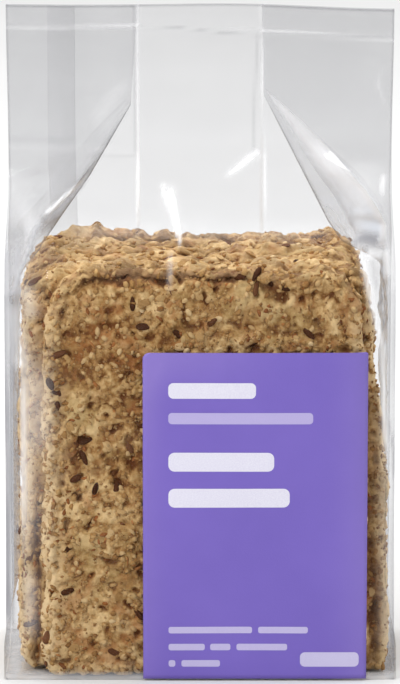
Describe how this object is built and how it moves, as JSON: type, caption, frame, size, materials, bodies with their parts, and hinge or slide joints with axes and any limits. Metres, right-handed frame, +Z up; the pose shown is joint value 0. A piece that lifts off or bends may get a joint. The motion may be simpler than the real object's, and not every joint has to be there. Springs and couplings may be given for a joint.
{
  "type": "pack of multigrain crackers",
  "caption": "Sealed clear side-gusset bag on a flat block bottom, holding a stack of square multigrain crackers on edge, with a paper label on its front.",
  "frame": {"origin": "middle of the block bottom, where the pack stands", "axes": "+X to the right along the front, +Y from the labelled front to the back, +Z up to the sealed top edge"},
  "size_m": [0.115, 0.0594, 0.198],
  "materials": {
    "clear_film": "gloss",
    "label_paper": "satin",
    "label_print": "satin",
    "cracker_crumb": "matte",
    "oat_flake": "matte",
    "sesame_seed": "satin",
    "flax_seed": "gloss"
  },
  "bodies": {
    "root": {"bag": "clear_film", "label": "label_paper"}
  },
  "joints": []
}
